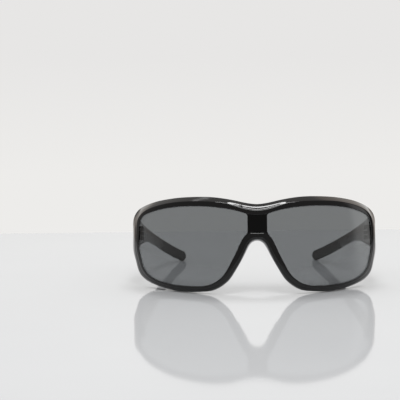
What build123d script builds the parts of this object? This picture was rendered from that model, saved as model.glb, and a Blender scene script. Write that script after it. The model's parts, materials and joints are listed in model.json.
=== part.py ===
"""Wraparound sport sunglasses: a one-piece rim, a shield lens and two folding temples.

Every piece is drawn in the wearing frame: X to the wearer's left, Y from the face of the
lens back along the temples, Z up, with the hinge axes upright. Put down on a table the
glasses tip back, so the finished pieces are turned about X until the lower rims and the
temple tips all stand on Z = 0. Units are millimetres and degrees.
"""
from build123d import *
import math
import os

# Face of the front: a barrel surface turned about an upright axis behind the nose.
WRAP_RADIUS = 80.0        # plan radius of the face at its most forward height
DOME_RADIUS = 150.0       # upright radius of the face
EQUATOR_Z = 27.0          # height of the face's most forward line
RIM_DEPTH = 5.5           # from the rim's face to its back

# Front view of the wearer's left half of the rim and of the opening in it, as (x, z), from
# the middle of the brow round to the middle of the nose arch. Every second point ends an arc.
RIM_BROW = [(0, 49.0), (3.6, 49.3), (7, 49.9), (12.5, 51.2), (18.5, 52.4), (27, 53.5), (36, 53.8),
            (44.5, 53.65), (51.5, 53.0), (57.8, 52.05), (63, 50.7), (67.2, 48.8), (69.4, 45.6)]
RIM_CHEEK = [(69.9, 38), (70, 32), (69.9, 24.5), (69, 17.8), (66.6, 11.0), (62.6, 6.5), (57.5, 3.9),
             (51.5, 1.95), (44, 0.45), (36.5, -0.1), (31, 0.0), (26.8, 0.55)]
RIM_NOSE = [(22.2, 1.75), (18.3, 4.45), (15.2, 7.5), (12.6, 11.5), (9.8, 16.4), (7, 21.8), (5.5, 25.0),
            (3.9, 27.0), (2.1, 28.1), (0, 28.4)]
OPENING_BROW = [(0, 42.5), (3.6, 42.85), (7, 43.7), (12.4, 45.3), (18.3, 46.5), (27, 47.6),
                (36, 48.1), (44, 48.05), (51, 47.5), (57, 46.5), (61.5, 45.3), (65, 43.6), (66.6, 41)]
OPENING_CHEEK = [(67.45, 36), (67.65, 31), (67.3, 24.5), (66.1, 18.4), (64.1, 12.6), (60.7, 8.7),
                 (55.7, 6.0), (50, 4.2), (42.5, 3.0), (35, 2.6), (30, 2.8), (26, 3.9)]
OPENING_NOSE = [(21.6, 6.5), (18.2, 10.1), (15.2, 15.3), (12.5, 20.5), (9.9, 26.1), (7.2, 30.3),
                (5.9, 31.6), (4, 32.15), (2, 32.22), (0, 32.25)]
CHEEK_TOP_Z = 26.0        # below this height the back of the rim slopes forward
CHEEK_SLOPE = 33.0        # of that slope, from upright

# Shield lens, held in a groove that runs round the opening.
LENS_DEPTH = 1.2          # from the rim's face to the lens
LENS_THICKNESS = 2.0
LENS_ENGAGEMENT = 0.9     # how far the lens reaches into the groove
LENS_CLEARANCE = 0.1
STRIP_WIDTH = 11.0        # dark bridge strip bonded over the middle of the lens
STRIP_THICKNESS = 0.85
BOND_GAP = 0.05

# Soft nose pads behind the flanks of the nose arch, each held by two pegs.
PAD_CENTRE = (9.4, 20.1)  # (x, z)
PAD_LENGTH = 12.5
PAD_WIDTH = 3.0
PAD_DEPTH = 3.2
PAD_TILT = 61.0           # of its long axis, from level
PEG_RADIUS = 0.6
PEG_LENGTH = 1.7
PEG_PITCH = 6.0
PEG_CLEARANCE = 0.05

# Temples: a curved band in plan, cut to a side view.
TEMPLE_OUTER_X = 71.8     # widest half-width, beside the hinge
TEMPLE_THICKNESS = 3.9
TEMPLE_RADIUS = 231.5     # plan radius of the inner face
BEND_SETBACK = 5.5        # from where the temples begin to curve in back to the split
SPLIT_SETBACK = 9.89      # from the side of the rim's face back to where the front ends
SPLIT_GAP = 0.2           # from there to the temples
TEMPLE_LENGTH = 102.0     # from the split back to the tip, along Y
TEMPLE_TOP_Z = 44.2
TEMPLE_FOOT_Z = 24.6
TEMPLE_TOP_BOW = 1.1      # of the upper edge above a straight line
NOTCH_LENGTH = 39.5       # from the split back to the notch in the lower edge
NOTCH_Z = 30.1
ARM_HEIGHT = 6.6          # at the rounded tip
ARM_WAIST = 5.8           # midway between the notch and the tip
LEAN = 8.3                # how far the wearing frame tips back on a table
REST_POINT = (41.9, 0.2)  # (x, z) where the lower rims touch the table
SLEEVE_LENGTH = 36.0      # rubber sleeve over the tip of each temple
SLEEVE_WALL = 0.9
SLEEVE_CLEARANCE = 0.05

# Lugs at the sides of the rim, and three-barrel hinges on their inner faces.
LUG_OVERLAP = 0.8         # of the lugs over the side of the rim's face
LUG_FLARE = 0.2           # sideways part of their run where they leave the rim
SEAT_SETBACK = 5.5        # from the front end of the hinge seats back to the split
SEAT_RISE = 0.3           # of the seats under the hinge leaves
SEAT_ROOT = 0.9           # how far they reach into the plastic behind them
BARREL_RADIUS = 1.55
BARREL_HEIGHT = 2.3
BARREL_SETBACK = 1.4      # from the split back to the hinge axis
LEAF_THICKNESS = 0.9
LEAF_LENGTH = 4.7
HINGE_Z = 34.0            # mid-height of the barrels
SWING_GAP = 0.3           # from the barrels to the leaf that turns past them
WASHER_THICKNESS = 0.3
WASHER_GAP = 0.03
SCREW_RADIUS = 0.7
SCREW_CLEARANCE = 0.04
SCREW_HEAD_RADIUS = 1.25
SCREW_HEAD_HEIGHT = 0.6
SLOT_WIDTH = 0.35
SLOT_DEPTH = 0.3
FIXING_RADIUS = 0.5       # small screws that hold the leaves
FIXING_HEAD_RADIUS = 0.95
FIXING_HEAD_HEIGHT = 0.45
FIXING_LENGTH = 2.6
FIXING_PITCH = 4.2
FIXING_CLEARANCE = 0.03


def face_y(x: float, z: float, depth: float = 0.0) -> float:
    """Y of the rim's face, or of the surface `depth` behind it, at a place in front view."""
    dome = DOME_RADIUS - depth
    plan = WRAP_RADIUS - DOME_RADIUS + math.sqrt(dome**2 - (z - EQUATOR_Z) ** 2)
    return WRAP_RADIUS - math.sqrt(plan**2 - x**2)


# Values that follow from the ones above, and the reach of the cuts.
PROFILE_STEPS = [-36, -24, -12, 0, 12, 24, 36]    # heights that carry the upright profile
CUT_REACH = 60.0          # half-length of the straight cuts, past the deepest part of the front
CUT_MARGIN = 1.0          # of the sideways cuts past the widest place
RIM_SIDE_X = max(x for x, _ in RIM_CHEEK)
RIM_SIDE_Y = face_y(RIM_SIDE_X, HINGE_Z)
LUG_FRONT_Y = RIM_SIDE_Y - LUG_OVERLAP
SPLIT_Y = RIM_SIDE_Y + SPLIT_SETBACK
SEAT_FRONT_Y = SPLIT_Y - SEAT_SETBACK
BEND_START_Y = SPLIT_Y - BEND_SETBACK
TIP_Y = SPLIT_Y + TEMPLE_LENGTH
NOTCH_Y = SPLIT_Y + NOTCH_LENGTH
SLEEVE_Y = TIP_Y - SLEEVE_LENGTH
TEMPLE_INNER_X = TEMPLE_OUTER_X - TEMPLE_THICKNESS
LEAF_X = TEMPLE_INNER_X - SEAT_RISE               # outer faces of the leaves
HINGE_X = LEAF_X - BARREL_RADIUS
HINGE_Y = SPLIT_Y + BARREL_SETBACK
BARREL_PITCH = BARREL_HEIGHT + WASHER_THICKNESS + 2 * WASHER_GAP
LEAF_HEIGHT = 2 * BARREL_PITCH + BARREL_HEIGHT
LEAF_SETBACK = BARREL_RADIUS + SWING_GAP          # from the hinge axis to each plate
FRONT_LEAF_Y = HINGE_Y - LEAF_SETBACK - LEAF_LENGTH / 2
TEMPLE_LEAF_Y = HINGE_Y + LEAF_SETBACK + LEAF_LENGTH / 2
WRAP_AXIS = Axis((0, WRAP_RADIUS, 0), (0, 0, 1))


def table_z(y: float) -> float:
    """Height in the wearing frame of the table that the glasses are put down on."""
    rest_y = face_y(*REST_POINT, RIM_DEPTH)
    return REST_POINT[1] + (y - rest_y) * math.tan(math.radians(LEAN))


def wrap_layer(near: float, far: float) -> Part:
    """Barrel-shaped layer between two depths behind the rim's face."""
    heights = [EQUATOR_Z + step for step in PROFILE_STEPS]
    front = [(WRAP_RADIUS - face_y(0, z, near), z) for z in heights]
    back = [(WRAP_RADIUS - face_y(0, z, far), z) for z in heights]
    section = Plane((0, WRAP_RADIUS, 0), x_dir=(-1, 0, 0), z_dir=(0, 1, 0))
    with BuildPart() as layer:
        with BuildSketch(section):
            with BuildLine():
                Spline(*front)
                Line(front[-1], back[-1])
                Spline(*back)
                Line(back[0], front[0])
            make_face()
        revolve(axis=WRAP_AXIS, revolution_arc=180)
    return layer.part


def outset(half_outline: list, amount: float) -> list:
    """Half outline with each point moved outwards, square to the line between its neighbours."""
    (first_x, first_z), (last_x, last_z) = half_outline[1], half_outline[-2]
    before = [(-first_x, first_z)] + half_outline[:-1]
    after = half_outline[1:] + [(-last_x, last_z)]
    moved = []
    for (x0, z0), (x, z), (x1, z1) in zip(before, half_outline, after):
        span = math.hypot(x1 - x0, z1 - z0)
        moved.append((x - amount * (z1 - z0) / span, z + amount * (x1 - x0) / span))
    return moved


def front_prism(half_outline: list) -> Part:
    """Straight cut along Y of a front view, given by the outline of its left half."""
    with BuildPart() as prism:
        with BuildSketch(Plane.XZ):
            with BuildLine():
                for first in range(0, len(half_outline) - 1, 2):
                    arc = ThreePointArc(*half_outline[first:first + 3])
                    mirror(arc, about=Plane.YZ)
            make_face()
        extrude(amount=CUT_REACH, both=True)
    return prism.part


def trimmed(body: Part, *cutters: Part) -> Part:
    """What a body has in common with every cutter."""
    with BuildPart() as piece:
        add(body)
        for cutter in cutters:
            add(cutter, mode=Mode.INTERSECT)
    return piece.part


def temple_band(inset: float, first_y: float, last_y: float) -> Part:
    """Plan of the left temple between two places along it, thinned by `inset` on each side."""
    centre = (TEMPLE_INNER_X - TEMPLE_RADIUS, BEND_START_Y)
    with BuildPart() as band:
        with BuildSketch(Plane.XY):
            with Locations(centre):
                Circle(TEMPLE_RADIUS + TEMPLE_THICKNESS - inset)
                Circle(TEMPLE_RADIUS + inset, mode=Mode.SUBTRACT)
            with Locations((TEMPLE_OUTER_X, (first_y + last_y) / 2)):
                Rectangle(TEMPLE_OUTER_X, last_y - first_y, mode=Mode.INTERSECT)
        extrude(amount=TEMPLE_TOP_Z + CUT_REACH / 2)
    return band.part


def temple_side(inset: float) -> Part:
    """Side view of a temple, drawn in by `inset`, cut straight through along X."""
    tip_y = TIP_Y - ARM_HEIGHT / 2
    tip_z = table_z(tip_y) + ARM_HEIGHT / 2 / math.cos(math.radians(LEAN))
    tip_top, tip_foot = tip_z + ARM_HEIGHT / 2 - inset, tip_z - ARM_HEIGHT / 2 + inset
    root_top, root_foot, notch = TEMPLE_TOP_Z - inset, TEMPLE_FOOT_Z + inset, NOTCH_Z + inset
    slope = (root_top - tip_top) / (tip_y - SPLIT_Y)
    bow = ((SPLIT_Y + tip_y) / 2, (root_top + tip_top) / 2 + TEMPLE_TOP_BOW)
    waist = ((NOTCH_Y + tip_y) / 2, (notch + tip_foot) / 2 + ARM_HEIGHT - ARM_WAIST)
    with BuildPart() as side:
        with BuildSketch(Plane.YZ):
            with BuildLine():
                Line((SPLIT_Y, root_foot), (SPLIT_Y, root_top))
                Spline((SPLIT_Y, root_top), bow, (tip_y, tip_top), tangents=[(1, -slope), (1, -slope)])
                ThreePointArc((tip_y, tip_top), (TIP_Y - inset, tip_z), (tip_y, tip_foot))
                Spline((tip_y, tip_foot), waist, (NOTCH_Y, notch), (SPLIT_Y, root_foot),
                       tangents=[(-1, slope), (-1, -slope)])
            make_face()
        extrude(amount=TEMPLE_OUTER_X + CUT_MARGIN)
    return side.part


# ---------- front: rim, lens, strip and pads ----------

rim_outline = RIM_BROW + RIM_CHEEK + RIM_NOSE
opening_outline = OPENING_BROW + OPENING_CHEEK + OPENING_NOSE
groove_reach = LENS_ENGAGEMENT + LENS_CLEARANCE
opening_cut = front_prism(opening_outline)
rim_plate = trimmed(front_prism(rim_outline), wrap_layer(0, RIM_DEPTH))
groove_cut = trimmed(
    front_prism(outset(opening_outline, groove_reach)),
    wrap_layer(LENS_DEPTH - LENS_CLEARANCE, LENS_DEPTH + LENS_THICKNESS + LENS_CLEARANCE),
)

with BuildPart() as left_lug:
    with BuildSketch(Plane.XY.offset(TEMPLE_FOOT_Z)):
        with BuildLine():
            Spline((RIM_SIDE_X, LUG_FRONT_Y), (TEMPLE_OUTER_X, SPLIT_Y),
                   tangents=[(LUG_FLARE, 1), (0, 1)])
            Line((TEMPLE_OUTER_X, SPLIT_Y), (TEMPLE_INNER_X, SPLIT_Y))
            Line((TEMPLE_INNER_X, SPLIT_Y), (TEMPLE_INNER_X, LUG_FRONT_Y))
            Line((TEMPLE_INNER_X, LUG_FRONT_Y), (RIM_SIDE_X, LUG_FRONT_Y))
        make_face()
    extrude(amount=TEMPLE_TOP_Z - TEMPLE_FOOT_Z)

with BuildPart() as rear_cut:
    with BuildSketch(Plane.YZ):
        with BuildLine():
            cheek_run = CUT_REACH * math.tan(math.radians(CHEEK_SLOPE))
            Polyline((SPLIT_Y, CUT_REACH), (SPLIT_Y, CHEEK_TOP_Z),
                     (SPLIT_Y - cheek_run, CHEEK_TOP_Z - CUT_REACH),
                     (SPLIT_Y + CUT_REACH, CHEEK_TOP_Z - CUT_REACH),
                     (SPLIT_Y + CUT_REACH, CUT_REACH), close=True)
        make_face()
    extrude(amount=TEMPLE_OUTER_X + CUT_MARGIN, both=True)

with BuildPart() as left_leaf_seat:
    with Locations((LEAF_X, SEAT_FRONT_Y, HINGE_Z)):
        Box(SEAT_RISE + SEAT_ROOT, SPLIT_Y - SEAT_FRONT_Y, LEAF_HEIGHT,
            align=(Align.MIN, Align.MIN, Align.CENTER))

room_length = TEMPLE_LEAF_Y + LEAF_LENGTH / 2 + BOND_GAP - SEAT_FRONT_Y
with BuildPart() as left_leaf_room:
    with Locations((LEAF_X, SEAT_FRONT_Y, HINGE_Z)):
        Box(LEAF_THICKNESS, room_length, LEAF_HEIGHT + 2 * BOND_GAP,
            align=(Align.MAX, Align.MIN, Align.CENTER))


def fixing_bores(leaf_y: float) -> Part:
    """Pilot bores behind one left leaf for its fixing screws."""
    with BuildPart() as bores:
        with Locations(Plane((LEAF_X, leaf_y, HINGE_Z), x_dir=(0, 1, 0), z_dir=(1, 0, 0))):
            with GridLocations(0, FIXING_PITCH, 1, 2):
                Cylinder(FIXING_RADIUS + FIXING_CLEARANCE, 2 * FIXING_LENGTH)
    return bores.part


pad_plane = Plane((PAD_CENTRE[0], 0, PAD_CENTRE[1]), x_dir=(1, 0, 0), z_dir=(0, -1, 0))
pad_face_y = face_y(*PAD_CENTRE, RIM_DEPTH)


def pad_pegs(extra: float) -> Part:
    """Pegs of the left nose pad, or their bores when `extra` opens them out."""
    with BuildPart() as pegs:
        with Locations(pad_plane.offset(PEG_LENGTH + extra - pad_face_y)):
            with Locations(Rotation(0, 0, 180 - PAD_TILT)):
                with GridLocations(PEG_PITCH, 0, 2, 1):
                    Cylinder(PEG_RADIUS + extra, PEG_LENGTH + PAD_DEPTH / 2,
                             align=(Align.CENTER, Align.CENTER, Align.MAX))
    return pegs.part


left_bores = fixing_bores(FRONT_LEAF_Y)
left_peg_bores = pad_pegs(PEG_CLEARANCE)

with BuildPart() as front_frame:
    add(rim_plate)
    add(left_lug.part)
    mirror(left_lug.part, about=Plane.YZ)
    add(rear_cut.part, mode=Mode.SUBTRACT)
    add(left_leaf_seat.part)
    mirror(left_leaf_seat.part, about=Plane.YZ)
    add(opening_cut, mode=Mode.SUBTRACT)
    add(groove_cut, mode=Mode.SUBTRACT)
    for cutter in (left_leaf_room.part, left_bores, left_peg_bores):
        add(cutter, mode=Mode.SUBTRACT)
        mirror(cutter, about=Plane.YZ, mode=Mode.SUBTRACT)

shield_lens = trimmed(front_prism(outset(opening_outline, LENS_ENGAGEMENT)),
                      wrap_layer(LENS_DEPTH, LENS_DEPTH + LENS_THICKNESS))

strip_back = LENS_DEPTH - BOND_GAP
with BuildPart() as strip_cut:
    with Locations((0, 0, RIM_BROW[0][1] / 2)):
        Box(STRIP_WIDTH, CUT_REACH, RIM_BROW[0][1])
bridge_strip = trimmed(front_prism(outset(opening_outline, -BOND_GAP)), strip_cut.part,
                       wrap_layer(strip_back - STRIP_THICKNESS, strip_back))

with BuildPart() as pad_slot:
    with BuildSketch(pad_plane):
        SlotOverall(PAD_LENGTH, PAD_WIDTH, rotation=180 - PAD_TILT)
    extrude(amount=CUT_REACH, both=True)
pad_body = trimmed(pad_slot.part, wrap_layer(RIM_DEPTH + BOND_GAP, RIM_DEPTH + PAD_DEPTH))
with BuildPart() as nose_pad_left:
    add(pad_body)
    add(pad_pegs(0))

# ---------- left hinge ----------


def hinge_leaf(leaf_y: float, barrel_steps: list) -> Part:
    """Leaf plate with its barrels, the webs that join them, and the bores through both."""
    web_length = abs(leaf_y - HINGE_Y)
    with BuildPart() as leaf:
        with Locations((LEAF_X, leaf_y, HINGE_Z)):
            Box(LEAF_THICKNESS, LEAF_LENGTH, LEAF_HEIGHT, align=(Align.MAX, Align.CENTER, Align.CENTER))
        for step in barrel_steps:
            barrel_z = HINGE_Z + step * BARREL_PITCH
            with Locations((LEAF_X, (leaf_y + HINGE_Y) / 2, barrel_z)):
                Box(LEAF_THICKNESS, web_length, BARREL_HEIGHT,
                    align=(Align.MAX, Align.CENTER, Align.CENTER))
            with Locations((HINGE_X, HINGE_Y, barrel_z)):
                Cylinder(BARREL_RADIUS, BARREL_HEIGHT)
        with Locations((HINGE_X, HINGE_Y, HINGE_Z)):
            Cylinder(SCREW_RADIUS + SCREW_CLEARANCE, 2 * LEAF_HEIGHT, mode=Mode.SUBTRACT)
        add(fixing_bores(leaf_y), mode=Mode.SUBTRACT)
    return leaf.part


def fixing_screws(leaf_y: float) -> Part:
    """Pair of small screws that hold one left leaf."""
    with BuildPart() as screws:
        seat = Plane((LEAF_X - LEAF_THICKNESS, leaf_y, HINGE_Z), x_dir=(0, 1, 0), z_dir=(1, 0, 0))
        with Locations(seat):
            with GridLocations(0, FIXING_PITCH, 1, 2):
                Cylinder(FIXING_RADIUS, FIXING_LENGTH, align=(Align.CENTER, Align.CENTER, Align.MIN))
                Cylinder(FIXING_HEAD_RADIUS, FIXING_HEAD_HEIGHT,
                         align=(Align.CENTER, Align.CENTER, Align.MAX))
        with Locations(seat.offset(-FIXING_HEAD_HEIGHT)):
            with GridLocations(0, FIXING_PITCH, 1, 2):
                Box(2 * FIXING_HEAD_RADIUS, SLOT_WIDTH, SLOT_DEPTH, mode=Mode.SUBTRACT)
    return screws.part


front_hinge_left = hinge_leaf(FRONT_LEAF_Y, [-1, 1])
temple_hinge_left = hinge_leaf(TEMPLE_LEAF_Y, [0])

head_z = HINGE_Z + LEAF_HEIGHT / 2
with BuildPart() as hinge_screw_left:
    with Locations((HINGE_X, HINGE_Y, head_z)):
        Cylinder(SCREW_RADIUS, LEAF_HEIGHT, align=(Align.CENTER, Align.CENTER, Align.MAX))
        Cylinder(SCREW_HEAD_RADIUS, SCREW_HEAD_HEIGHT,
                 align=(Align.CENTER, Align.CENTER, Align.MIN))
    with Locations((HINGE_X, HINGE_Y, head_z + SCREW_HEAD_HEIGHT)):
        Box(2 * SCREW_HEAD_RADIUS, SLOT_WIDTH, 2 * SLOT_DEPTH, mode=Mode.SUBTRACT)

with BuildPart() as hinge_washers_left:
    for side_sign in (-1, 1):
        with Locations((HINGE_X, HINGE_Y, HINGE_Z + side_sign * BARREL_PITCH / 2)):
            Cylinder(BARREL_RADIUS, WASHER_THICKNESS)
            Cylinder(SCREW_RADIUS + SCREW_CLEARANCE, WASHER_THICKNESS, mode=Mode.SUBTRACT)

# ---------- left temple and its sleeve ----------

arm_root = trimmed(temple_side(0), temple_band(0, SPLIT_Y + SPLIT_GAP, SLEEVE_Y))
arm_core = trimmed(temple_side(SLEEVE_WALL),
                   temple_band(SLEEVE_WALL, SLEEVE_Y - SLEEVE_WALL, TIP_Y))
sleeve_blank = trimmed(temple_side(0), temple_band(0, SLEEVE_Y + BOND_GAP, TIP_Y))
core_wall = SLEEVE_WALL - SLEEVE_CLEARANCE
core_cut = trimmed(temple_side(core_wall), temple_band(core_wall, SLEEVE_Y, TIP_Y))

with BuildPart() as temple_left:
    add(arm_root)
    add(arm_core)
    with Locations((LEAF_X, TEMPLE_LEAF_Y, HINGE_Z)):
        Box(SEAT_RISE + SEAT_ROOT, LEAF_LENGTH, LEAF_HEIGHT,
            align=(Align.MIN, Align.CENTER, Align.CENTER))
    add(left_leaf_room.part, mode=Mode.SUBTRACT)
    add(fixing_bores(TEMPLE_LEAF_Y), mode=Mode.SUBTRACT)

with BuildPart() as tip_sleeve_left:
    add(sleeve_blank)
    add(core_cut, mode=Mode.SUBTRACT)

# ---------- both sides, put down on the table ----------

pieces = {"front_frame": front_frame.part, "shield_lens": shield_lens, "bridge_strip": bridge_strip}
left_pieces = {
    "nose_pad": nose_pad_left.part,
    "front_hinge": front_hinge_left,
    "front_hinge_screws": fixing_screws(FRONT_LEAF_Y),
    "hinge_screw": hinge_screw_left.part,
    "hinge_washers": hinge_washers_left.part,
    "temple": temple_left.part,
    "temple_hinge": temple_hinge_left,
    "temple_hinge_screws": fixing_screws(TEMPLE_LEAF_Y),
    "tip_sleeve": tip_sleeve_left.part,
}
for name, piece in left_pieces.items():
    pieces[f"{name}_left"] = piece
    pieces[f"{name}_right"] = piece.mirror(Plane.YZ)

put_down = Location((0, 0, 0), (-LEAN, 0, 0))
rim_box = front_frame.part.moved(put_down).bounding_box()
tip_box = tip_sleeve_left.part.moved(put_down).bounding_box()
foot_z = min(rim_box.min.Z, tip_box.min.Z)
on_table = Location((0, -(rim_box.min.Y + tip_box.max.Y) / 2, -foot_z))

os.makedirs("parts", exist_ok=True)
for name, piece in pieces.items():
    placed = (on_table * put_down) * piece
    placed.label = name
    export_step(placed, f"parts/{name}.step")
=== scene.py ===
"""Wraparound sport sunglasses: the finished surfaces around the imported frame.

The glasses' pieces are worked out in the wearing frame of the part's own source, in
millimetres: X to the wearer's left, Y from the face of the lens back along the temples, and Z
up along the hinge axes. `Placement` turns them to where the glasses stand on the table.
"""
from __future__ import annotations

import json
import logging
import math
from dataclasses import dataclass, field
from enum import Enum

import bpy
import numpy as np
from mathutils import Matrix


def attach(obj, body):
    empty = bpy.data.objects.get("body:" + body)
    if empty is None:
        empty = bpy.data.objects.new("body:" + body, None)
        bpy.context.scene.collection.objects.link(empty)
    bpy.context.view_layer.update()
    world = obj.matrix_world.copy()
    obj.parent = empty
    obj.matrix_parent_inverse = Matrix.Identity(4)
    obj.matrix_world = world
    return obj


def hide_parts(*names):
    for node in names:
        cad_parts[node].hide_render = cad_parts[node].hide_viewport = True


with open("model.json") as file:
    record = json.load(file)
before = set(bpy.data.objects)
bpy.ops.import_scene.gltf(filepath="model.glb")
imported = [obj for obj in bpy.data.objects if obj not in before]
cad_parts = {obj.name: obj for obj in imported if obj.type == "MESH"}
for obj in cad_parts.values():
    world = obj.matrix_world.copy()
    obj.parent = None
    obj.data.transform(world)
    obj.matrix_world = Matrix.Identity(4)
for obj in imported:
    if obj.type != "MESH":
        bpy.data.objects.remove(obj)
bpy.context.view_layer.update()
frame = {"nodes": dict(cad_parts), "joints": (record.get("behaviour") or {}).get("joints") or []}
LOG = logging.getLogger("sunglasses")
MM = 0.001
# Middle of the left hinge in the wearing frame, in millimetres.
HINGE_MM = (66.05, 52.899, 34.0)


# ---------- placing and mesh building ----------


class Side(Enum):
    """The wearer's left or right, as the sign of X."""

    LEFT = 1
    RIGHT = -1

    @property
    def word(self) -> str:
        """The side's name as the nodes spell it."""
        return self.name.lower()


@dataclass(frozen=True)
class Placement:
    """Turns wearing-frame millimetres into table-frame metres."""

    lean: float
    shift_y: float
    shift_z: float

    @classmethod
    def from_hinge(cls, joint: dict, hinge_mm: tuple) -> "Placement":
        """Reads the lean from a hinge's axis and the shift from its place.

        Args:
            joint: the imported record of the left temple's hinge.
            hinge_mm: the middle of that hinge in the wearing frame.

        Returns:
            The placement that carries one to the other.
        """
        lean = math.atan2(joint["axis"][1], joint["axis"][2])
        _, y, z = (value * MM for value in hinge_mm)
        turned_y = math.cos(lean) * y + math.sin(lean) * z
        turned_z = math.cos(lean) * z - math.sin(lean) * y
        return cls(lean, joint["pos_m"][1] - turned_y, joint["pos_m"][2] - turned_z)

    def to_table(self, points: np.ndarray) -> np.ndarray:
        """Carries wearing-frame points onto the table: a turn about X by the lean, then the shift.

        Args:
            points: millimetres in the wearing frame, shaped (..., 3).

        Returns:
            The same points in metres in the table frame.
        """
        x, y, z = np.moveaxis(points * MM, -1, 0)
        turned_y = math.cos(self.lean) * y + math.sin(self.lean) * z + self.shift_y
        turned_z = math.cos(self.lean) * z - math.sin(self.lean) * y + self.shift_z
        return np.stack([x, turned_y, turned_z], axis=-1)


def signed_volume(points: np.ndarray, triangles: np.ndarray) -> float:
    """Volume inside a closed mesh, negative when its faces look inwards."""
    a, b, c = (points[triangles[:, corner]] for corner in range(3))
    return float(np.einsum("ij,ij->i", a, np.cross(b, c)).sum() / 6)


def tube_object(
    name: str, rings: np.ndarray, closed_path: bool, sharp_degrees: float = 35.0
) -> bpy.types.Object:
    """Makes a closed mesh of profile rings carried along a path.

    The quads join ring i to ring i + 1 and profile point j to j + 1, both counted round. An
    open path gets a fan of triangles to the middle of its first and last rings.

    Args:
        name: the piece's name.
        rings: table-frame points, shaped (stations, profile points, 3).
        closed_path: whether the last ring joins the first.
        sharp_degrees: edges that turn by more than this are drawn sharp.

    Returns:
        The new object, linked to the scene.
    """
    stations, count, _ = rings.shape
    path = np.arange(stations if closed_path else stations - 1)
    profile = np.arange(count)
    first, second = path[:, None], (path[:, None] + 1) % stations
    nxt = (profile + 1) % count
    quads = np.stack(
        np.broadcast_arrays(first * count + profile, second * count + profile,
                            second * count + nxt, first * count + nxt),
        axis=-1,
    ).reshape(-1, 4)
    points = rings.reshape(-1, 3)
    faces = quads.tolist()
    triangles = [quads[:, [0, 1, 2]], quads[:, [0, 2, 3]]]
    if not closed_path:
        points = np.concatenate([points, rings[0].mean(axis=0)[None], rings[-1].mean(axis=0)[None]])
        last = (stations - 1) * count
        start_hub, end_hub = stations * count, stations * count + 1
        start_fan = np.stack([np.full(count, start_hub), profile, nxt], axis=-1)
        end_fan = np.stack([np.full(count, end_hub), last + nxt, last + profile], axis=-1)
        faces += start_fan.tolist() + end_fan.tolist()
        triangles += [start_fan, end_fan]
    if signed_volume(points, np.concatenate(triangles)) < 0:
        faces = [face[::-1] for face in faces]
    mesh = bpy.data.meshes.new(name)
    mesh.from_pydata(points.tolist(), [], faces)
    mesh.polygons.foreach_set("use_smooth", np.ones(len(mesh.polygons), dtype=bool))
    mesh.set_sharp_from_angle(angle=math.radians(sharp_degrees))
    mesh.update()
    piece = bpy.data.objects.new(name, mesh)
    bpy.context.scene.collection.objects.link(piece)
    return piece


def closed_curve(knots: np.ndarray, count: int) -> np.ndarray:
    """Smooth closed curve through every knot: a periodic cubic spline.

    The parameter is the chord length of the first two columns, and the spline's second
    derivatives come from one linear system that makes its slope continuous at each knot.

    Args:
        knots: points (n, k) in order round the loop, without the first one repeated.
        count: how many evenly spaced samples to return.

    Returns:
        Samples shaped (count, k).
    """
    ahead = np.roll(knots, -1, axis=0)
    span = np.linalg.norm((ahead - knots)[:, :2], axis=1)
    size = len(knots)
    index = np.arange(size)
    before, after = (index - 1) % size, (index + 1) % size
    system = np.zeros((size, size))
    system[index, before] = span[before]
    system[index, index] = 2 * (span[before] + span)
    system[index, after] = span
    slope = (ahead - knots) / span[:, None]
    bend = np.linalg.solve(system, 6 * (slope - slope[before]))
    place = np.concatenate([[0], np.cumsum(span)])
    sample = np.linspace(0, place[-1], count, endpoint=False)
    piece = np.clip(np.searchsorted(place, sample, side="right") - 1, 0, size - 1)
    length = span[piece][:, None]
    right = (sample - place[piece])[:, None]
    left = length - right
    low, high = knots[piece], ahead[piece]
    low_bend, high_bend = bend[piece], bend[after[piece]]
    return (
        (low_bend * left**3 + high_bend * right**3) / (6 * length)
        + (low / length - low_bend * length / 6) * left
        + (high / length - high_bend * length / 6) * right
    )


@dataclass(frozen=True)
class WrapSurface:
    """Barrel surface that the face of the rim and the lens follow."""

    wrap_radius: float = 80.0
    dome_radius: float = 150.0
    equator_z: float = 27.0

    def y(self, x: np.ndarray, z: np.ndarray, depth: np.ndarray | float = 0.0) -> np.ndarray:
        """Y of one layer: an arc of the dome's radius in side view, turned about the wrap's axis.

        Args:
            x: places across, in front view.
            z: places up, in front view.
            depth: how far the layer lies behind the face.

        Returns:
            The layer's Y at each place.
        """
        dome = self.dome_radius - depth
        plan = self.wrap_radius - self.dome_radius + np.sqrt(dome**2 - (z - self.equator_z) ** 2)
        return self.wrap_radius - np.sqrt(plan**2 - x**2)


# ---------- finishes ----------


def linear(hex_colour: str) -> tuple:
    """Linear RGBA of an sRGB hex colour.

    A dark channel is divided by 12.92; a lighter one follows the sRGB power curve.

    Args:
        hex_colour: the colour, such as "#1a2b3c".

    Returns:
        Red, green and blue, and an alpha of 1.
    """
    channels = [int(hex_colour[i:i + 2], 16) / 255 for i in (1, 3, 5)]
    light = [c / 12.92 if c <= 0.04045 else ((c + 0.055) / 1.055) ** 2.4 for c in channels]
    return (*light, 1.0)


def add_node(
    tree: bpy.types.NodeTree, kind: str, links: dict | None = None, **settings: object
) -> bpy.types.Node:
    """Adds one node with its settings, input values and links.

    Args:
        tree: the material's or world's node tree.
        kind: the node's type name.
        links: input name or index to a value or to another node's output socket.
        **settings: attributes of the node itself.

    Returns:
        The new node.
    """
    node = tree.nodes.new(kind)
    for name, value in settings.items():
        setattr(node, name, value)
    for socket, value in (links or {}).items():
        if isinstance(value, bpy.types.NodeSocket):
            tree.links.new(value, node.inputs[socket])
        else:
            node.inputs[socket].default_value = value
    return node


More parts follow.
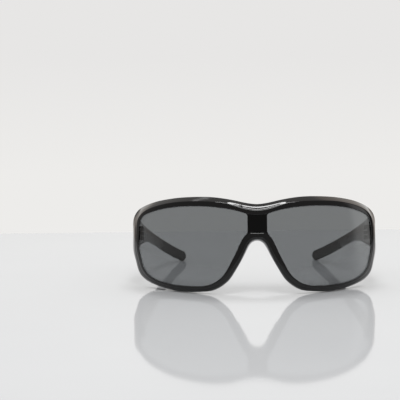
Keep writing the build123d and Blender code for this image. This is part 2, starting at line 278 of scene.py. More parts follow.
@dataclass(frozen=True)
class Finish:
    """A moulded or coated surface: its colour, gloss and fine relief.

    Attributes:
        name: the material's name.
        colour: sRGB hex of the bulk colour.
        second: sRGB hex that the colour drifts towards in soft patches.
        roughness: lowest and highest roughness across the same patches.
        grain_mm: size of the surface's relief.
        relief: strength of that relief, from 0 to 1.
        metallic: 1 for bare metal.
        ior: refractive index of the surface.
        patches_per_metre: how many soft patches fit in a metre; 60 makes them 17 mm across.
    """

    name: str
    colour: str
    second: str
    roughness: tuple
    grain_mm: float
    relief: float
    metallic: float = 0.0
    ior: float = 1.5
    patches_per_metre: float = 60.0

    def material(self) -> bpy.types.Material:
        """Builds the material: patches drive colour and gloss, finer noise drives the relief.

        Returns:
            The material, made only once however often it is asked for.
        """
        existing = bpy.data.materials.get(self.name)
        if existing:
            return existing
        material = bpy.data.materials.new(self.name)
        material.use_nodes = True
        tree = material.node_tree
        shader = tree.nodes["Principled BSDF"]
        place = add_node(tree, "ShaderNodeTexCoord").outputs["Object"]
        patches = add_node(
            tree, "ShaderNodeTexNoise",
            {"Vector": place, "Scale": self.patches_per_metre, "Detail": 3.0},
        ).outputs["Fac"]
        grain_size = self.grain_mm * MM
        grain = add_node(
            tree, "ShaderNodeTexNoise", {"Vector": place, "Scale": 1 / grain_size, "Detail": 4.0}
        )
        colour = add_node(
            tree, "ShaderNodeMix", {0: patches, 6: linear(self.colour), 7: linear(self.second)},
            data_type="RGBA",
        )
        # The noise stays mostly between 0.3 and 0.7.
        smooth, rough = self.roughness
        gloss = add_node(
            tree, "ShaderNodeMapRange",
            {"Value": patches, "From Min": 0.3, "From Max": 0.7, "To Min": smooth, "To Max": rough},
        )
        # The relief is a tenth as deep as it is wide.
        bump = add_node(
            tree, "ShaderNodeBump",
            {"Height": grain.outputs["Fac"], "Strength": self.relief, "Distance": grain_size * 0.1},
        )
        tree.links.new(colour.outputs[2], shader.inputs["Base Color"])
        tree.links.new(gloss.outputs[0], shader.inputs["Roughness"])
        tree.links.new(bump.outputs["Normal"], shader.inputs["Normal"])
        shader.inputs["Metallic"].default_value = self.metallic
        shader.inputs["IOR"].default_value = self.ior
        return material


# Polyamide, injection moulded in a polished tool: deep black, mirror-like, with the faint
# waviness of the melt's flow, 2.5 mm from crest to crest.
POLISHED_NYLON = Finish(
    "polished_black_polyamide", "#090909", "#0e0e0f", (0.07, 0.12), 2.5, 0.05, ior=1.47
)
# The same polyamide on the temples, from a tool polished a little less.
TEMPLE_NYLON = Finish("glossy_black_polyamide", "#0e0d0d", "#131212", (0.12, 0.18), 1.2, 0.08)
# Smooth deep black strip, bonded over the lens: less light comes back than from the rim.
BLACK_STRIP = Finish(
    "black_strip_polycarbonate", "#040404", "#060606", (0.16, 0.22), 1.5, 0.05, ior=1.3
)
# Thermoplastic rubber, moulded with a spark texture of 0.25 mm grit: nearly no shine.
SOFT_RUBBER = Finish("soft_black_rubber", "#141414", "#1a1a1a", (0.55, 0.7), 0.25, 0.35)
# Steel hinge leaves dipped in black lacquer: an even satin black.
COATED_STEEL = Finish("black_coated_steel", "#17171a", "#101011", (0.3, 0.42), 0.25, 0.12)
# Turned steel screws, blackened: dark grey metal with a low shine.
SCREW_STEEL = Finish("blackened_steel", "#55565a", "#434447", (0.26, 0.38), 0.15, 0.1, metallic=1.0)
# Unfilled nylon washers: waxy off-white.
WASHER_NYLON = Finish("natural_nylon", "#cfcdc4", "#c4c1b6", (0.35, 0.45), 0.3, 0.1)


@dataclass(frozen=True)
class TintedLens:
    """Polycarbonate dyed neutral grey and polished: clear to look through, glossy on both faces.

    Attributes:
        name: the material's name.
        tint: sRGB hex that light takes on in passing a face.
        roughness: how far the polish is from a mirror.
        ior: refractive index of polycarbonate.
        flow_per_metre: how many swells of the moulded sheet fit in a metre; 25 makes them 40 mm.
        flow_strength: how much of the swell shows in its gloss.
        flow_depth: depth of the swell in metres.
    """

    name: str = "grey_tinted_polycarbonate"
    tint: str = "#7b7e80"
    roughness: float = 0.01
    ior: float = 1.585
    flow_per_metre: float = 25.0
    flow_strength: float = 0.02
    flow_depth: float = 0.0002

    def material(self) -> bpy.types.Material:
        """Builds the material, with its tint on the shader's own socket.

        Returns:
            The new material.
        """
        material = bpy.data.materials.new(self.name)
        material.use_nodes = True
        tree = material.node_tree
        shader = tree.nodes["Principled BSDF"]
        place = add_node(tree, "ShaderNodeTexCoord").outputs["Object"]
        flow = add_node(
            tree, "ShaderNodeTexNoise", {"Vector": place, "Scale": self.flow_per_metre, "Detail": 1.0}
        ).outputs["Fac"]
        bump = add_node(
            tree, "ShaderNodeBump",
            {"Height": flow, "Strength": self.flow_strength, "Distance": self.flow_depth},
        )
        tree.links.new(bump.outputs["Normal"], shader.inputs["Normal"])
        shader.inputs["Base Color"].default_value = linear(self.tint)
        shader.inputs["Transmission Weight"].default_value = 1.0
        shader.inputs["Roughness"].default_value = self.roughness
        shader.inputs["IOR"].default_value = self.ior
        return material


def dress(
    piece: bpy.types.Object, finish: Finish | TintedLens, body: str, slot: str, *nodes: str
) -> None:
    """Gives a piece its finish and its body, and hides the CAD nodes it stands for.

    Args:
        piece: the new object.
        finish: what it is made of.
        body: the body it rides on.
        slot: the record's material slot; not used.
        *nodes: the CAD nodes it replaces.
    """
    piece.data.materials.append(finish.material())
    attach(piece, body)
    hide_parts(*nodes)
    LOG.info("%s: %d faces on %s", piece.name, len(piece.data.polygons), body)


# ---------- the front ----------


@dataclass
class FrontOutline:
    """Front view of the rim: its opening and its outer edge, station by station.

    Each station of the left half is (opening x, opening z, outer x, outer z, face share), from
    the middle of the brow round to the middle of the nose arch. The face share is how much of
    the width between the two edges the front face takes before the outer bevel starts.
    """

    stations: tuple = (
        (0, 42.5, 0, 49.0, 0.52), (3.6, 42.85, 3.6, 49.3, 0.52), (7, 43.7, 7, 49.9, 0.52),
        (12.4, 45.3, 12.5, 51.2, 0.52), (18.3, 46.5, 18.5, 52.4, 0.54), (27, 47.6, 27, 53.5, 0.53),
        (36, 48.1, 36, 53.8, 0.53), (44, 48.05, 44.5, 53.65, 0.54), (51, 47.5, 51.8, 53.0, 0.53),
        (57, 46.5, 58.6, 51.9, 0.5), (61.5, 45.3, 64.2, 50.3, 0.46), (65, 43.6, 68.3, 48.1, 0.4),
        (66.7, 41, 70.8, 44.4, 0.45), (67.4, 36.5, 71.65, 38, 0.5), (67.7, 31, 71.73, 31.5, 0.52),
        (67.35, 24.5, 71.5, 24.6, 0.52), (66.1, 18.4, 69.7, 17.8, 0.55),
        (64.1, 12.7, 67.3, 10.8, 0.52),
        (60.6, 8.85, 62.9, 6.3, 0.5), (55.6, 6.25, 57.1, 3.5, 0.5), (49.9, 4.5, 51.0, 1.5, 0.5),
        (42.5, 3.35, 43.2, 0.1, 0.5), (35, 2.95, 35.2, -0.35, 0.5), (30, 3.1, 29.5, -0.15, 0.5),
        (26, 4.1, 24.4, 0.65, 0.52), (21.6, 6.6, 18.9, 3.6, 0.55), (18.2, 10.1, 15.5, 6.7, 0.6),
        (15.2, 15.3, 12.3, 11.5, 0.65), (12.5, 20.5, 8.95, 17.2, 0.68), (9.9, 26.1, 5.8, 23.2, 0.7),
        (7.2, 30.7, 3.8, 26.5, 0.7), (4, 32.9, 2.0, 27.9, 0.7), (0, 33.1, 0, 28.3, 0.72),
    )
    count: int = 720

    def __post_init__(self) -> None:
        """Carries the stations round both halves as one smooth loop."""
        half = np.array(self.stations, dtype=float)
        mirrored = half[-2:0:-1] * np.array([-1, 1, -1, 1, 1])
        loop = closed_curve(np.concatenate([half, mirrored]), self.count)
        self.opening, self.outer, self.face_share = loop[:, 0:2], loop[:, 2:4], loop[:, 4]
        run = np.roll(self.opening, -1, axis=0) - np.roll(self.opening, 1, axis=0)
        self.outward = np.stack([-run[:, 1], run[:, 0]], axis=1)
        self.outward /= np.linalg.norm(run, axis=1)[:, None]

    def opening_heights(self, x: np.ndarray, grow: float) -> tuple[np.ndarray, np.ndarray]:
        """Lower and upper edge of the opening, read off its loop between its two ends.

        Args:
            x: places across the opening.
            grow: how far the opening is widened all round first.

        Returns:
            The lowest and the highest z at each place.
        """
        edge = self.opening + self.outward * grow
        left_end = int(np.argmax(edge[:, 0]))
        right_end = int(np.argmin(edge[:, 0]))
        lower = edge[left_end:right_end + 1]
        upper = np.concatenate([edge[right_end:], edge[:left_end + 1]])
        order = np.argsort(lower[:, 0])
        low = np.interp(x, lower[order, 0], lower[order, 1])
        order = np.argsort(upper[:, 0])
        return low, np.interp(x, upper[order, 0], upper[order, 1])


@dataclass
class Front:
    """One-piece rim, shield lens, bridge strip and nose pads, all sizes in millimetres."""

    place: Placement
    surface: WrapSurface = field(default_factory=WrapSurface)
    outline: FrontOutline = field(default_factory=FrontOutline)
    rim_depth: float = 5.5
    split_y: float = 51.5
    cheek_top_z: float = 26.0
    cheek_slope: float = 33.0
    # The lens and its groove. The lens comes nearer to the rim's face towards its two ends.
    lens_depth: float = 1.2
    lens_edge_rise: float = 0.75
    lens_end_x: float = 68.0
    lens_thickness: float = 2.0
    lens_engagement: float = 0.85
    lens_stations: int = 241
    lens_heights: int = 61
    lens_inset: float = 0.02
    groove: float = 0.95
    groove_gap: float = 0.1
    lip: float = 0.05
    inner_back_edge: tuple = (0.3, 0.35)
    # Where the brow, the dip over the nose, the end of the ridge, the sides and the rounder
    # fillet of the nose arch begin, and over how many millimetres each grows to its full.
    brow_from_z: tuple = (36.0, 6.0)
    dip_within_x: tuple = (17.0, 9.0)
    ridge_within_x: tuple = (12.5, 6.0)
    side_from_z: tuple = (20.0, 8.0)
    arch_within_x: tuple = (8.4, 6.0)
    # The face's rounded edges: the opening's fillet, and the corner where the outer bevel starts.
    inner_fillet: float = 0.32
    arch_fillet: float = 1.3
    fillet_turns: tuple = (8, 22, 36, 50, 64, 78, 90)
    corner: tuple = (
        (0.55, 0.0), (0.42, 0.015), (0.3, 0.05), (0.2, 0.1), (0.1, 0.17), (0.0, 0.34),
    )
    dip_softness: float = 1.1
    # The outer bevel: two facets and a ridge along the brow, a round shoulder below.
    bevel_shares: tuple = (
        0.04, 0.1, 0.17, 0.24, 0.3, 0.35, 0.39, 0.43, 0.48, 0.54, 0.61, 0.7, 0.8, 0.9, 1.0,
    )
    bevel_reach: tuple = (0.42, 0.95)
    brow_ridge: float = 0.4
    ridge_slope: float = 0.5
    plain_slope: float = 0.95
    ridge_rounding: tuple = (0.06, 0.26)
    shoulder: float = 2.7
    # The edge of the back: how far in, and how far before the back.
    back_edge: tuple = ((0.1, 0.35), (0.2, 0.1), (0.45, 0.0))
    lower_draft: float = 0.25
    # The strip over the lens: half its width, the depths of its two faces, its flared ends.
    strip_half: float = 5.5
    strip_depth: tuple = (0.3, 1.15)
    strip_fillet: float = 1.2
    strip_edge_drop: float = 0.12
    strip_columns: int = 25
    strip_gap: float = 0.05
    # The nose pads, which lie along the arch's flanks behind the rim.
    pad_centre: tuple = (9.4, 20.1)
    pad_tilt: float = 61.0
    pad_length: float = 12.3
    pad_width: float = 2.9
    pad_height: float = 3.0
    pad_gap: float = 0.05
    pad_tip: float = 0.02
    pad_squareness: float = 0.7
    pad_points: int = 33

    def back_y(self, x: np.ndarray, z: np.ndarray) -> np.ndarray:
        """Y of the rim's back: the foremost of a layer behind its face and the sloping cheek.

        Above the cheek's top the cheek is the plane where the temples split off.

        Args:
            x: places across, in front view.
            z: places up, in front view.

        Returns:
            The back's Y at each place.
        """
        slope = math.tan(math.radians(self.cheek_slope))
        cheek = self.split_y - np.maximum(self.cheek_top_z - z, 0) * slope
        return np.minimum(self.surface.y(x, z, self.rim_depth), cheek)

    def lens_front(self, x: np.ndarray) -> np.ndarray:
        """Depth of the lens's front behind the face: it shrinks with the 4th power of x."""
        share = np.clip(np.abs(x) / self.lens_end_x, 0, 1)
        return self.lens_depth - self.lens_edge_rise * share**4

    def two_facets(self, share: float, rounding: np.ndarray, slope: np.ndarray) -> np.ndarray:
        """How far the brow's bevel has fallen back at a share of its width.

        A shallow facet meets a steep one at the ridge. The corner between them is a hyperbola,
        scaled so that the fall starts at 0 and ends at 1.

        Args:
            share: how far across the bevel, from 0 to 1.
            rounding: roundness of the ridge.
            slope: slope of the shallow facet; at 1 there is no ridge.

        Returns:
            The fall, from 0 to 1, round the outline.
        """
        ridge = self.brow_ridge

        def past(place: float) -> np.ndarray:
            """Smooth version of how far `place` lies past the ridge."""
            return (place - ridge + np.sqrt((place - ridge) ** 2 + rounding**2)) / 2

        steep = (past(share) - past(0.0)) / (past(1.0) - past(0.0))
        return slope * share + (1 - slope) * steep

    def build_rim(self) -> None:
        """Carries the rim's section round the opening.

        The section runs up the inner wall with the lens groove in it, round a fillet, across the
        face, down the outer bevel and across the back. Its places are shares of the way from
        the opening to the face's edge and on to the outer edge, moved outwards in mm.
        """
        outline = self.outline
        opening, outer = outline.opening, outline.outer
        across, height = np.abs(opening[:, 0]), opening[:, 1]
        crease = opening + (outer - opening) * outline.face_share[:, None]

        def rise(value: np.ndarray, start_and_width: tuple) -> np.ndarray:
            """0 up to the start, 1 from a width past it, straight between."""
            return np.clip((value - start_and_width[0]) / start_and_width[1], 0, 1)

        # 1 along the brow, with its crisp fillet and flat bevel; 0 below, with round shoulders.
        brow = rise(height, self.brow_from_z)
        # 1 in the dip over the nose, where every edge of the brow is softer.
        dip_end, dip_width = self.dip_within_x
        dip = np.clip((dip_end - across) / dip_width, 0, 1) * brow
        soft = 1 + self.dip_softness * dip
        sharp, round_ridge = self.ridge_rounding
        rounding = sharp + (round_ridge - sharp) * dip
        plain = rise(across, self.ridge_within_x)
        slope = self.ridge_slope + (self.plain_slope - self.ridge_slope) * plain
        # How deep the outer edge lies: at the rear along the brow and beside the hinges, and
        # a little behind the face below, where a straight wall runs on to the back.
        side = rise(height, self.side_from_z)
        below, beside = self.bevel_reach
        reach = below + (beside - below) * side

        def row(
            share: float, outward: float | np.ndarray, depth: float | np.ndarray | None,
            before: float = 0.0,
        ) -> np.ndarray:
            """One line of the section round the whole outline.

            Args:
                share: how far from the opening to the face's edge.
                outward: how far it is moved outwards.
                depth: how far behind the face, or None to measure from the back.
                before: how far before the back, where there is no depth.

            Returns:
                The line's points, shaped (count, 3).
            """
            flat = opening + (crease - opening) * share
            x, z = (flat + outline.outward * np.reshape(outward, (-1, 1))).T
            back = self.back_y(x, z)
            y = back - before if depth is None else self.surface.y(x, z, depth)
            return np.stack([x, np.minimum(y, back), z], axis=1)

        lens_front = self.lens_front(opening[:, 0])
        lens_back = lens_front + self.lens_thickness + self.groove_gap
        groove_front = lens_front - self.groove_gap
        # The opening's front edge is rounded, most of all on top of the nose arch.
        arch_end, arch_width = self.arch_within_x
        on_arch = np.clip((arch_end - across) / arch_width, 0, 1) * (1 - brow)
        fillet = self.inner_fillet + (self.arch_fillet - self.inner_fillet) * on_arch
        back_inset, before_back = self.inner_back_edge
        rows = [
            row(0, back_inset, None), row(0, 0, None, before_back), row(0, 0, lens_back + self.lip),
            row(0, self.groove, lens_back), row(0, self.groove, groove_front),
            row(0, self.lip, groove_front), row(0, self.lip, groove_front - self.lip),
        ]
        for turn in np.radians(self.fillet_turns):
            outward = self.lip + fillet * (1 - math.cos(turn))
            rows.append(row(0, outward, fillet * (1 - math.sin(turn))))
        # Halfway across the face.
        rows.append(row(0.5, 0.1, 0.0))
        for inset, depth in self.corner:
            rows.append(row(1, -inset * soft, depth * soft))
        corner_depth = self.corner[-1][1] * soft
        for share in self.bevel_shares:
            x, z = (crease + (outer - crease) * share).T
            start = self.surface.y(x, z, corner_depth)
            facets = self.two_facets(share, rounding, slope)
            fall = brow * facets + (1 - brow) * share**self.shoulder
            y = start + (self.back_y(x, z) - start) * reach * fall
            rows.append(np.stack([x, y, z], axis=1))
        inwards = (opening - outer) / np.linalg.norm(outer - opening, axis=1)[:, None]
        for inset, before in self.back_edge:
            # Below, the wall draws in by a little on its way to the back.
            x, z = (outer + inwards * (inset + self.lower_draft * (1 - side))[:, None]).T
            y = np.maximum(self.back_y(x, z) - before, rows[-1][:, 1])
            rows.append(np.stack([x, y, z], axis=1))
        rings = np.stack(rows, axis=1)
        rim = tube_object("rim", self.place.to_table(rings), closed_path=True)
        dress(rim, POLISHED_NYLON, "front", "frame", "front_frame")

    def build_lens(self) -> None:
        """Carries upright lens sections from side to side, closer together towards the ends."""
        edge = self.outline.opening + self.outline.outward * self.lens_engagement
        reach = float(edge[:, 0].max()) - self.lens_inset
        # A quarter turn, less a hair, so that the end sections keep a height.
        quarter = math.pi / 2 - 0.02
        x = reach * np.sin(np.linspace(-quarter, quarter, self.lens_stations))
        low, high = self.outline.opening_heights(x, self.lens_engagement)
        z = low[:, None] + (high - low)[:, None] * np.linspace(0, 1, self.lens_heights)
        across = np.broadcast_to(x[:, None], z.shape)
        depth = self.lens_front(across)
        front = np.stack([across, self.surface.y(across, z, depth), z], axis=-1)
        back = np.stack([across, self.surface.y(across, z, depth + self.lens_thickness), z], axis=-1)
        rings = np.concatenate([front, back[:, ::-1]], axis=1)
        lens = tube_object("lens", self.place.to_table(rings), closed_path=False)
        dress(lens, TintedLens(), "front", "lens", "shield_lens")

    def build_strip(self) -> None:
        """Carries the strip's flat section up the lens.

        Both ends flare by quarter circles, and their edges follow the opening's own curve.
        """
        near, far = self.strip_depth
        low, high = self.outline.opening_heights(np.array([0.0]), -self.strip_gap)
        rise = np.linspace(0, 1, self.lens_heights)
        z = low[0] + (high[0] - low[0]) * rise
        radius = self.strip_fillet
        end = np.minimum(np.minimum(z - low[0], high[0] - z), radius)
        half = self.strip_half + radius - np.sqrt(radius**2 - (radius - end) ** 2)
        columns = np.linspace(-1, 1, self.strip_columns)
        depth = np.repeat([near, far], self.strip_columns)
        depth[[0, self.strip_columns - 1]] += self.strip_edge_drop
        x = half[:, None] * np.concatenate([columns, columns[::-1]])
        low_x, high_x = self.outline.opening_heights(x.ravel(), -self.strip_gap)
        level = low_x.reshape(x.shape) + (high_x - low_x).reshape(x.shape) * rise[:, None]
        rings = np.stack([x, self.surface.y(x, level, depth), level], axis=-1)
        strip = tube_object("bridge_strip_cover", self.place.to_table(rings), closed_path=False)
        dress(strip, BLACK_STRIP, "front", "strip", "bridge_strip")

    def build_nose_pad(self, side: Side) -> None:
        """Crowned capsule behind one flank of the nose arch: rings that shrink towards its ends.

        Args:
            side: the flank that it sits on.
        """
        tilt, radius = math.radians(self.pad_tilt), self.pad_width / 2
        along = np.linspace(-1, 1, self.pad_points)
        straight = self.pad_length / 2 - radius
        edge = np.clip(np.abs(along) * self.pad_length / 2 - straight, 0, radius)
        half_width = np.sqrt(np.maximum(radius**2 - edge**2, self.pad_tip**2))
        turn = np.linspace(0, 2 * math.pi, self.pad_points)[:-1]
        squared = np.sign(np.sin(turn)) * np.abs(np.sin(turn)) ** self.pad_squareness
        sideways = half_width[:, None] * np.cos(turn)
        crown = 0.5 + 0.5 * squared * (half_width[:, None] / radius) ** 0.5
        depth = self.rim_depth + self.pad_gap + self.pad_height * crown
        reach = along[:, None] * self.pad_length / 2
        x = self.pad_centre[0] - reach * math.cos(tilt) + sideways * math.sin(tilt)
        z = self.pad_centre[1] + reach * math.sin(tilt) + sideways * math.cos(tilt)
        rings = np.stack([x * side.value, self.surface.y(x, z, depth), z], axis=-1)
        pad = tube_object(f"nose_pad_{side.word}_soft", self.place.to_table(rings), False, 80)
        dress(pad, SOFT_RUBBER, "front", "pad", f"nose_pad_{side.word}")

    def build(self) -> None:
        """Builds every piece of the front."""
        self.build_rim()
        self.build_lens()
        self.build_strip()
        for side in Side:
            self.build_nose_pad(side)


# ---------- the temples ----------


@dataclass
class Temple:
    """One temple: a tall root beside the hinge, a notch under it, and an arm with a soft tip."""

    place: Placement
    side: Side
    outer_x: float = 71.5
    thickness: float = 3.9
    plan_radius: float = 229.6
    bend_start_y: float = 46.0
    split_y: float = 51.5
    split_gap: float = 0.2
    length: float = 102.0
    top_z: float = 44.2
    foot_z: float = 24.6
    top_bow: float = 1.1
    notch: tuple = (91.0, 30.1)
    arm_height: float = 6.6
    tip_z: float = 22.3
    tip_round: float = 3.4
    tip_thinning: float = 0.98
    sleeve_length: float = 36.0
    root_slope: float = 0.17
    # Powers of the section's superellipse at the root, the notch, the sleeve and near the tip.
    squareness: tuple = (5.0, 4.0, 3.2, 2.2)
    sleeve_from_tip: float = 30.0
    round_from_tip: float = 8.0
    section_points: int = 64
    # Half the gap between the arm and its sleeve, and the lengths of their end rings.
    seam: float = 0.05
    end_ring: float = 0.15
    sleeve_edge: float = 0.2
    arm_rings: int = 120
    sleeve_rings: int = 50
    tip_rings: int = 60

    @property
    def tip_y(self) -> float:
        """Y of the temple's very end."""
        return self.split_y + self.length

    def inner_x(self, y: np.ndarray) -> np.ndarray:
        """Plan of the inner face: straight to the bend, then an arc inwards.

        Args:
            y: places along the temple.

        Returns:
            How far the face lies from the middle at each place.
        """
        behind = np.maximum(y - self.bend_start_y, 0)
        inwards = self.plan_radius - np.sqrt(self.plan_radius**2 - behind**2)
        return self.outer_x - self.thickness - inwards

    def edges(self, y: np.ndarray) -> tuple[np.ndarray, np.ndarray]:
        """Lower and upper edges, closed to a half round at the tip.

        The upper edge is a straight fall with a parabolic bow; the lower one is a Hermite curve
        from the root to the notch and another from there to the arm.

        Args:
            y: places along the temple.

        Returns:
            The z of the lower and of the upper edge at each place.
        """
        tip_y = self.tip_y
        radius = self.arm_height / 2
        arm_y = tip_y - radius
        share = np.clip((y - self.split_y) / (arm_y - self.split_y), 0, 1)
        fall = self.top_z - self.tip_z - radius
        top = self.top_z - fall * share + self.top_bow * 4 * share * (1 - share)
        slope = -fall / (arm_y - self.split_y)

        def hermite(first: tuple, last: tuple, slopes: tuple) -> np.ndarray:
            """Cubic Hermite curve between two points.

            Args:
                first: y and z where it starts.
                last: y and z where it ends.
                slopes: its slope at both.

            Returns:
                Its z at each place along the temple, held level past both ends.
            """
            run = last[0] - first[0]
            t = np.clip((y - first[0]) / run, 0, 1)
            return (
                (2 * t**3 - 3 * t**2 + 1) * first[1] + (t**3 - 2 * t**2 + t) * run * slopes[0]
                + (3 * t**2 - 2 * t**3) * last[1] + (t**3 - t**2) * run * slopes[1]
            )

        root = hermite((self.split_y, self.foot_z), self.notch, (self.root_slope, 0.0))
        arm = hermite(self.notch, (arm_y, self.tip_z - radius), (0.0, slope))
        foot = np.where(y < self.notch[0], root, arm)
        past = np.clip(y - arm_y, 0, radius)
        half = np.sqrt(np.maximum(radius**2 - past**2, 0))
        foot = np.where(past > 0, self.tip_z - half, foot)
        top = np.where(past > 0, self.tip_z + half, top)
        return foot, top

    def rings(self, y: np.ndarray) -> np.ndarray:
        """Rounded sections: superellipses, boxier at the root and thinner over the tip.

        Args:
            y: places along the temple.

        Returns:
            Wearing-frame points, shaped (places, section points, 3).
        """
        foot, top = self.edges(y)
        thin = np.clip((self.tip_y - y) / self.tip_round, 0, 1)
        half_x = self.thickness / 2 * np.sqrt(1 - (1 - thin) ** 2 * self.tip_thinning)
        half_z = (top - foot) / 2
        sleeve_y, round_y = self.tip_y - self.sleeve_from_tip, self.tip_y - self.round_from_tip
        places = [self.split_y, self.notch[0], sleeve_y, round_y]
        power = 2 / np.interp(y, places, self.squareness)
        turn = np.linspace(0, 2 * math.pi, self.section_points + 1)[:-1]
        cos, sin = np.cos(turn), np.sin(turn)
        x = half_x[:, None] * np.sign(cos) * np.abs(cos) ** power[:, None]
        z = half_z[:, None] * np.sign(sin) * np.abs(sin) ** power[:, None]
        x = self.inner_x(y)[:, None] + self.thickness / 2 + x
        z = ((foot + top) / 2)[:, None] + z
        return np.stack([x * self.side.value, np.broadcast_to(y[:, None], x.shape), z], axis=-1)

    def build(self) -> None:
        """Builds the temple up to its sleeve, and the sleeve to the tip."""
        word, body = self.side.word, f"{self.side.word}_temple"
        sleeve_y = self.tip_y - self.sleeve_length
        start = self.split_y + self.split_gap
        end = sleeve_y - self.seam
        arm_y = np.linspace(start + self.end_ring, end - self.end_ring, self.arm_rings)
        arm_y = np.concatenate([[start], arm_y, [end]])
        arm = tube_object(f"temple_arm_{word}", self.place.to_table(self.rings(arm_y)), False)
        dress(arm, TEMPLE_NYLON, body, "temple", f"temple_{word}")
        # The rings draw together towards the tip, as its round closes, and stop just short of it.
        round_y = self.tip_y - self.tip_round
        ease = np.sin(np.linspace(0, math.pi / 2, self.tip_rings)) * (self.tip_round - 0.01)
        sleeve = np.linspace(sleeve_y + self.seam + self.sleeve_edge, round_y - 0.1, self.sleeve_rings)
        sleeve = np.concatenate([[sleeve_y + self.seam], sleeve, round_y + ease])
        grip = tube_object(f"tip_grip_{word}", self.place.to_table(self.rings(sleeve)), False, 60)
        dress(grip, SOFT_RUBBER, body, "sleeve", f"tip_sleeve_{word}")


def dress_hinges() -> None:
    """Gives the hinge leaves black lacquer, the screws blackened steel and the washers nylon."""
    finishes = {
        "front_hinge": COATED_STEEL, "temple_hinge": COATED_STEEL,
        "front_hinge_screws": SCREW_STEEL, "temple_hinge_screws": SCREW_STEEL,
        "hinge_screw": SCREW_STEEL, "hinge_washers": WASHER_NYLON,
    }
    for part, finish in finishes.items():
        for side in Side:
            node = frame["nodes"][f"{part}_{side.word}"]
            for slot in node.material_slots:
                slot.material = finish.material()
            LOG.info("%s: %s", node.name, finish.name)


# ---------- studio ----------


@dataclass(frozen=True)
class Lamp:
    """Soft rectangular lamp: its name, place in metres, width and height in metres, and watts."""

    name: str
    at: tuple
    size: tuple
    power: float


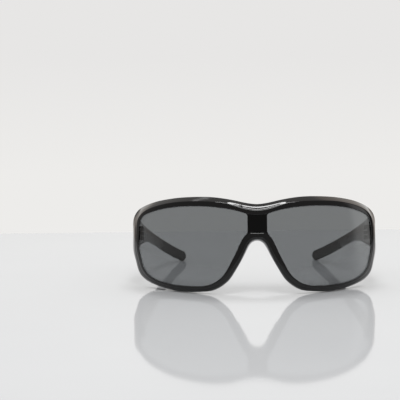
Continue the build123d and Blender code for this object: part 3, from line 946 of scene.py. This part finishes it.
@dataclass
class Studio:
    """Pale table, plain wall, soft lamps and the camera."""

    camera_at: tuple = (-0.03198, -0.92571, 0.13293)
    pitch: float = 5.316
    roll: float = 0.35
    lens_mm: float = 138.04
    sensor_mm: float = 36.0
    brow_at: tuple = (0.0, -0.07, 0.05)
    lamps: tuple = (
        Lamp("rear_softbox", (0.022, 0.365, 0.838), (0.27, 0.27), 2.5),
        Lamp("rear_left_strip", (-0.126, 0.637, 0.572), (0.085, 0.04), 0.01),
        Lamp("front_softbox", (0.0, -0.52, 0.84), (0.31, 0.34), 2.2),
    )
    # The table, 6 m wide: its far edge, that edge's skew, its tones, patches and polish.
    table_half: float = 3.0
    table_back_y: float = 0.244
    table_skew: float = 2.4
    table: tuple = ("#e4e5e6", "#dfe0e2")
    table_patches: float = 9.0
    table_polish: tuple = (0.045, 0.065)
    table_ior: float = 1.27
    # The wall as the camera sees it, by the height of the line of sight.
    wall_low: str = "#edecea"
    wall_high: str = "#e7e6e5"
    wall_fade: tuple = (-0.075, 0.0)
    # How the wall looks in gloss, by the cosine of the angle away from straight behind.
    wall_bands: tuple = (
        (0.42, "#4a4846"), (0.72, "#413f3d"), (0.8, "#b0a69e"), (0.86, "#b6ada6"),
        (0.94, "#c2bbb4"), (0.968, "#edecea"),
    )
    wall_top: float = 0.4
    wall_top_softness: float = 0.04
    wall_slant: float = 0.64
    # The wall's return on the right: from where it counts as beside, and as behind.
    return_beside: tuple = (0.85, 0.9)
    return_behind: tuple = (0.0, 0.2)
    room: str = "#93918f"
    fill: float = 0.59

    def build_floor(self) -> None:
        """Glossy pale table top that ends behind the glasses."""
        half, back = self.table_half, self.table_back_y
        rise = half * math.tan(math.radians(self.table_skew))
        corners = [(-half, -half, 0), (half, -half, 0), (half, back + rise, 0), (-half, back - rise, 0)]
        mesh = bpy.data.meshes.new("table")
        mesh.from_pydata(corners, [], [(0, 1, 2, 3)])
        floor = bpy.data.objects.new("table", mesh)
        bpy.context.scene.collection.objects.link(floor)
        material = bpy.data.materials.new("pale_acrylic")
        material.use_nodes = True
        tree = material.node_tree
        shader = tree.nodes["Principled BSDF"]
        place = add_node(tree, "ShaderNodeTexCoord").outputs["Object"]
        # Cast acrylic sheet: even in colour, with slow drifts of tone and polish over a hand's width.
        drift = add_node(
            tree, "ShaderNodeTexNoise", {"Vector": place, "Scale": self.table_patches, "Detail": 2.0}
        ).outputs["Fac"]
        light, dark = self.table
        colour = add_node(
            tree, "ShaderNodeMix", {0: drift, 6: linear(light), 7: linear(dark)}, data_type="RGBA"
        )
        smooth, rough = self.table_polish
        polish = add_node(
            tree, "ShaderNodeMapRange", {"Value": drift, "To Min": smooth, "To Max": rough}
        )
        tree.links.new(colour.outputs[2], shader.inputs["Base Color"])
        tree.links.new(polish.outputs[0], shader.inputs["Roughness"])
        shader.inputs["IOR"].default_value = self.table_ior
        mesh.materials.append(material)

    def mirrored_wall(
        self, tree: bpy.types.NodeTree, axes: bpy.types.Node
    ) -> bpy.types.NodeSocket:
        """What gloss sees: a pale wall behind the glasses and a dim room round it.

        The wall's upper edge rises to the right, and the room lies above it and towards the
        viewer. A pale return of the wall on the right shows in the lens's edge and the rim.

        Args:
            tree: the world's node tree.
            axes: the direction of sight, split into X, Y and Z.

        Returns:
            The colour in that direction.
        """
        slant = add_node(
            tree, "ShaderNodeMath",
            {0: axes.outputs["X"], 1: -self.wall_slant, 2: axes.outputs["Z"]},
            operation="MULTIPLY_ADD",
        )
        top, soft = self.wall_top, self.wall_top_softness
        low = add_node(
            tree, "ShaderNodeMapRange",
            {"Value": slant.outputs[0], "From Min": top - soft, "From Max": top + soft,
             "To Min": 1.0, "To Max": 0.0},
            interpolation_type="SMOOTHSTEP",
        )
        wall = add_node(tree, "ShaderNodeValToRGB", {"Fac": axes.outputs["Y"]})
        ramp = wall.color_ramp
        ramp.interpolation = "EASE"
        ramp.elements.remove(ramp.elements[1])
        ramp.elements[0].color = linear(self.room)
        for cosine, colour in self.wall_bands:
            ramp.elements.new(cosine).color = linear(colour)
        right = add_node(
            tree, "ShaderNodeMapRange",
            {"Value": axes.outputs["X"], "From Min": self.return_beside[0],
             "From Max": self.return_beside[1]},
            interpolation_type="SMOOTHSTEP",
        )
        behind = add_node(
            tree, "ShaderNodeMapRange",
            {"Value": axes.outputs["Y"], "From Min": self.return_behind[0],
             "From Max": self.return_behind[1]},
            interpolation_type="SMOOTHSTEP",
        )
        beside = add_node(
            tree, "ShaderNodeMath", {0: right.outputs[0], 1: behind.outputs[0]}, operation="MULTIPLY"
        )
        walls = add_node(
            tree, "ShaderNodeMix",
            {0: beside.outputs[0], 6: wall.outputs["Color"], 7: linear(self.wall_low)},
            data_type="RGBA",
        )
        mirrored = add_node(
            tree, "ShaderNodeMix",
            {0: low.outputs[0], 6: linear(self.room), 7: walls.outputs[2]}, data_type="RGBA",
        )
        return mirrored.outputs[2]

    def build_world(self) -> None:
        """Plain wall to look at, even light on matt surfaces, and a room for gloss to mirror."""
        world = bpy.data.worlds.new("studio")
        world.use_nodes = True
        bpy.context.scene.world = world
        tree = world.node_tree
        place = add_node(tree, "ShaderNodeTexCoord").outputs["Generated"]
        axes = add_node(tree, "ShaderNodeSeparateXYZ", {0: place})
        mirrored = self.mirrored_wall(tree, axes)
        path = add_node(tree, "ShaderNodeLightPath")
        seen = add_node(
            tree, "ShaderNodeMath",
            {0: path.outputs["Is Camera Ray"], 1: path.outputs["Is Transmission Ray"]},
            operation="MAXIMUM",
        )
        lowest, highest = self.wall_fade
        rise = add_node(
            tree, "ShaderNodeMapRange",
            {"Value": axes.outputs["Z"], "From Min": lowest, "From Max": highest},
        )
        plain = add_node(
            tree, "ShaderNodeMix",
            {0: rise.outputs[0], 6: linear(self.wall_low), 7: linear(self.wall_high)},
            data_type="RGBA",
        )
        gloss = add_node(
            tree, "ShaderNodeMix",
            {0: path.outputs["Is Glossy Ray"], 6: (self.fill,) * 3 + (1.0,), 7: mirrored},
            data_type="RGBA",
        )
        shade = add_node(
            tree, "ShaderNodeMix",
            {0: seen.outputs[0], 6: gloss.outputs[2], 7: plain.outputs[2]}, data_type="RGBA",
        )
        tree.links.new(shade.outputs[2], tree.nodes["Background"].inputs["Color"])

    def add_lamp(self, lamp: Lamp) -> None:
        """Adds one soft rectangular lamp that looks at the brow.

        Args:
            lamp: its name, place, size and power.
        """
        light = bpy.data.lights.new(lamp.name, "AREA")
        light.shape = "RECTANGLE"
        light.size, light.size_y = lamp.size
        light.energy = lamp.power
        holder = bpy.data.objects.new(lamp.name, light)
        holder.location = lamp.at
        way = np.array(self.brow_at) - np.array(lamp.at)
        yaw = math.atan2(way[1], way[0]) - math.pi / 2
        fall = math.acos(-way[2] / np.linalg.norm(way))
        holder.rotation_euler = (fall, 0, yaw)
        bpy.context.scene.collection.objects.link(holder)

    def build_camera(self) -> None:
        """Long-lens camera, low and a little to one side."""
        camera = bpy.data.cameras.new("camera")
        camera.lens = self.lens_mm
        camera.sensor_width = self.sensor_mm
        holder = bpy.data.objects.new("camera", camera)
        holder.location = self.camera_at
        holder.rotation_mode = "ZYX"
        holder.rotation_euler = (math.radians(90 - self.pitch), 0, math.radians(-self.roll))
        bpy.context.scene.collection.objects.link(holder)
        bpy.context.scene.camera = holder

    def build(self) -> None:
        """Builds the table, the world, the lamps and the camera."""
        self.build_floor()
        self.build_world()
        for lamp in self.lamps:
            self.add_lamp(lamp)
        self.build_camera()
        bpy.context.scene.view_settings.view_transform = "Standard"


def main() -> None:
    """Builds the glasses and the studio."""
    logging.basicConfig(level=logging.INFO, format="%(message)s")
    hinge = next(joint for joint in frame["joints"] if joint["name"] == "left_temple_fold")
    place = Placement.from_hinge(hinge, HINGE_MM)
    Studio().build()
    Front(place).build()
    for side in Side:
        Temple(place, side).build()
    dress_hinges()


if __name__ == "__main__":
    main()
